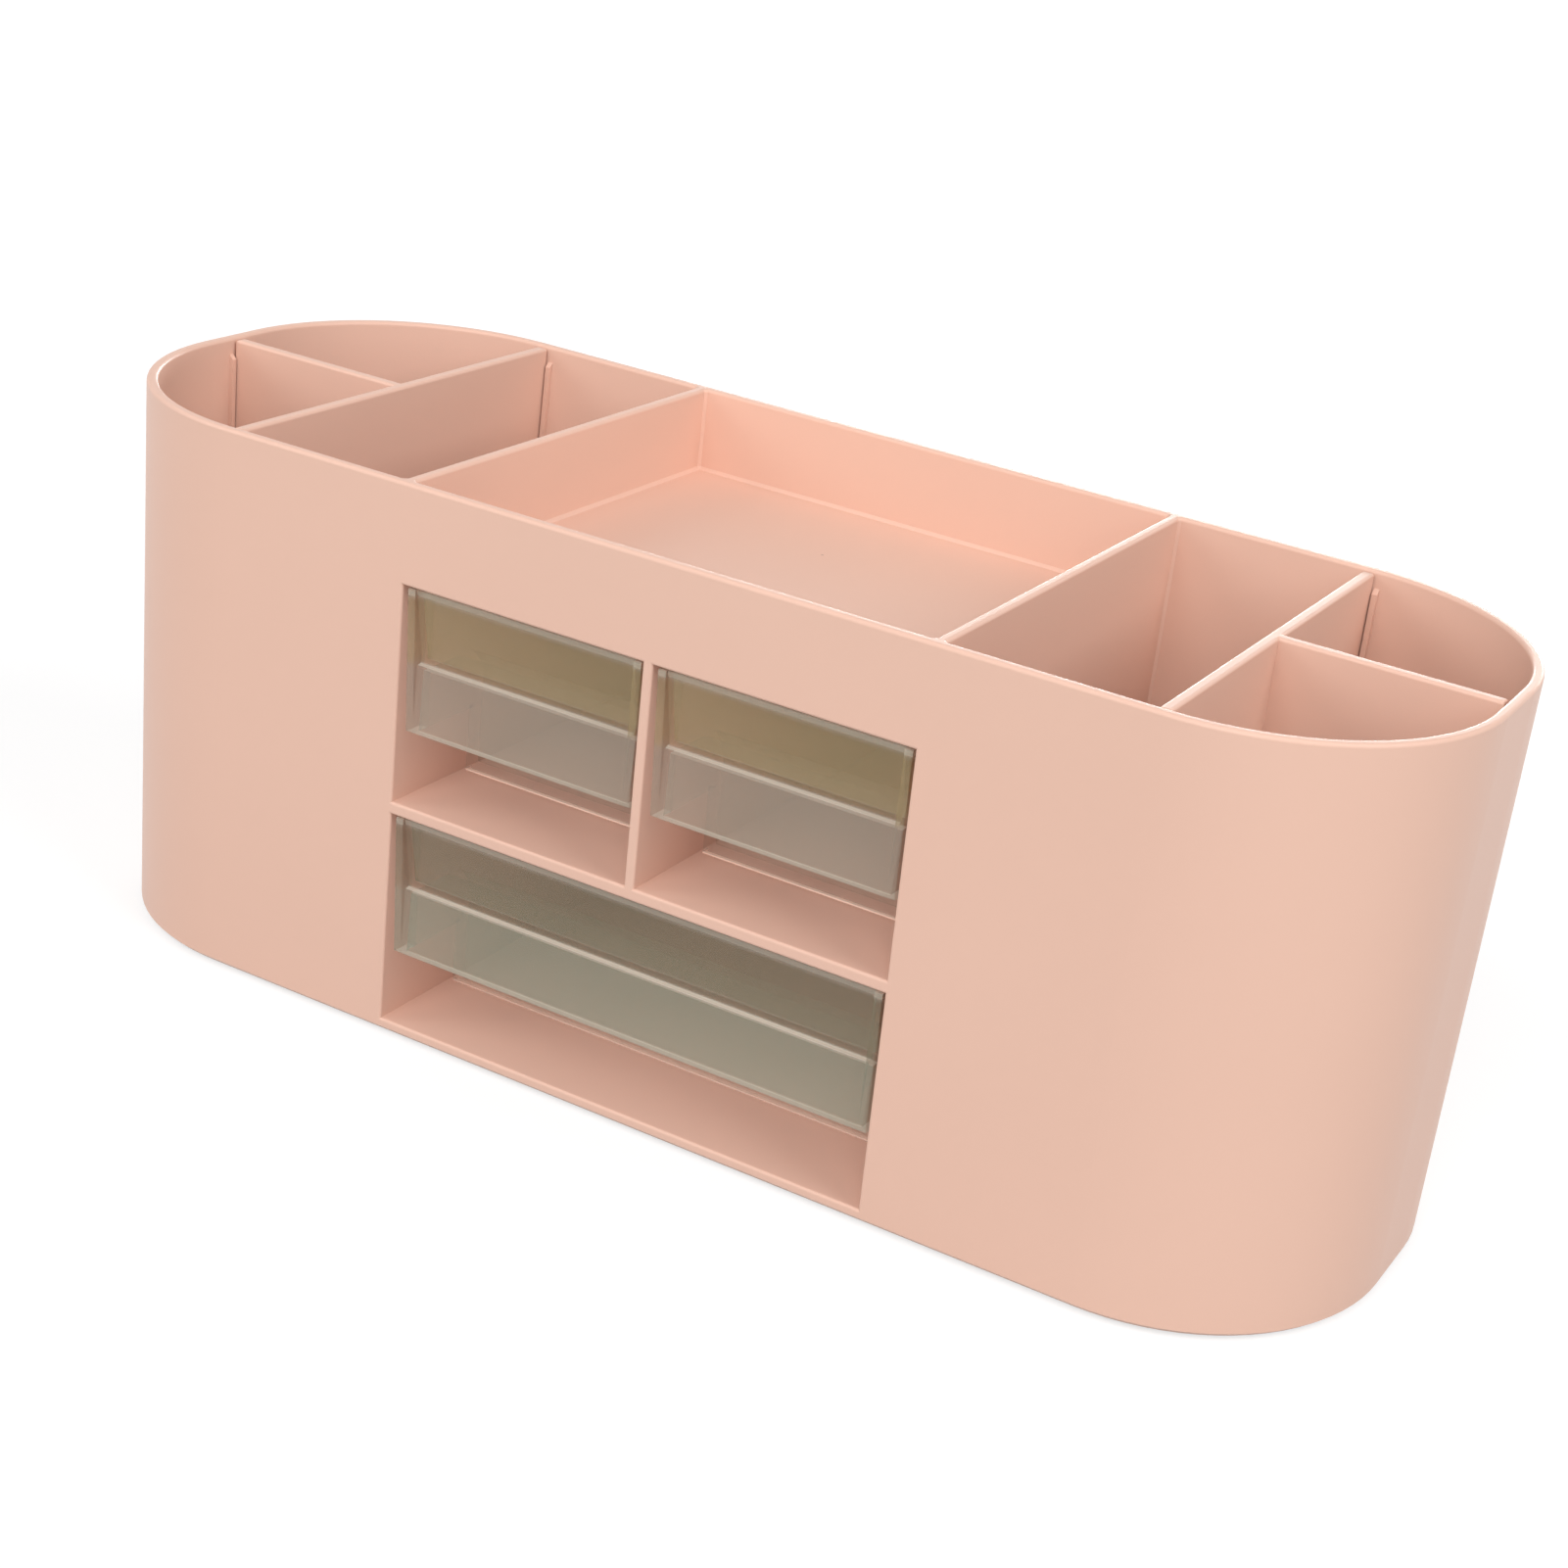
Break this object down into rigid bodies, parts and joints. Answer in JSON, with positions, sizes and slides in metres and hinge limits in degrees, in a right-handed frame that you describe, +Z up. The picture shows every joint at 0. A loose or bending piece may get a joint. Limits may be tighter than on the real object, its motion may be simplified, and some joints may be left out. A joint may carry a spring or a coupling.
{
  "type": "desk organizer with drawers",
  "caption": "Oblong round-ended pen holder with lift-out dividers, a shallow top tray and clear smoke-tinted drawers that pull out by a flap over a finger gap.",
  "frame": {"origin": "on the desk, under the middle of the body, level with the foot pads' undersides", "axes": "+X along the body, to the right as seen from the drawer side; +Y away from the drawer side; +Z up"},
  "size_m": [0.26, 0.0952, 0.1048],
  "materials": {
    "body_plastic": "satin gloss, moulded",
    "drawer_plastic": "clear, smoke tint, polished",
    "pad_rubber": "matt, fine texture"
  },
  "bodies": {
    "housing": {"organizer_body": "body_plastic", "foot_pad_front_left": "pad_rubber", "foot_pad_front_right": "pad_rubber", "foot_pad_back_left": "pad_rubber", "foot_pad_back_right": "pad_rubber"},
    "left_divider": {"left_divider": "body_plastic"},
    "right_divider": {"right_divider": "body_plastic"},
    "upper_left_drawer": {"upper_left_drawer": "drawer_plastic"},
    "upper_right_drawer": {"upper_right_drawer": "drawer_plastic"},
    "lower_drawer": {"lower_drawer": "drawer_plastic"}
  },
  "joints": [
    {"name": "left_divider_lift", "type": "slide", "parent": "housing", "child": "left_divider", "axis": [0, 0, 1], "range_m": [0, 0.105]},
    {"name": "right_divider_lift", "type": "slide", "parent": "housing", "child": "right_divider", "axis": [0, 0, 1], "range_m": [0, 0.105]},
    {"name": "upper_left_drawer_slide", "type": "slide", "parent": "housing", "child": "upper_left_drawer", "axis": [0, -1, 0], "range_m": [0, 0.07]},
    {"name": "upper_right_drawer_slide", "type": "slide", "parent": "housing", "child": "upper_right_drawer", "axis": [0, -1, 0], "range_m": [0, 0.07]},
    {"name": "lower_drawer_slide", "type": "slide", "parent": "housing", "child": "lower_drawer", "axis": [0, -1, 0], "range_m": [0, 0.07]}
  ]
}
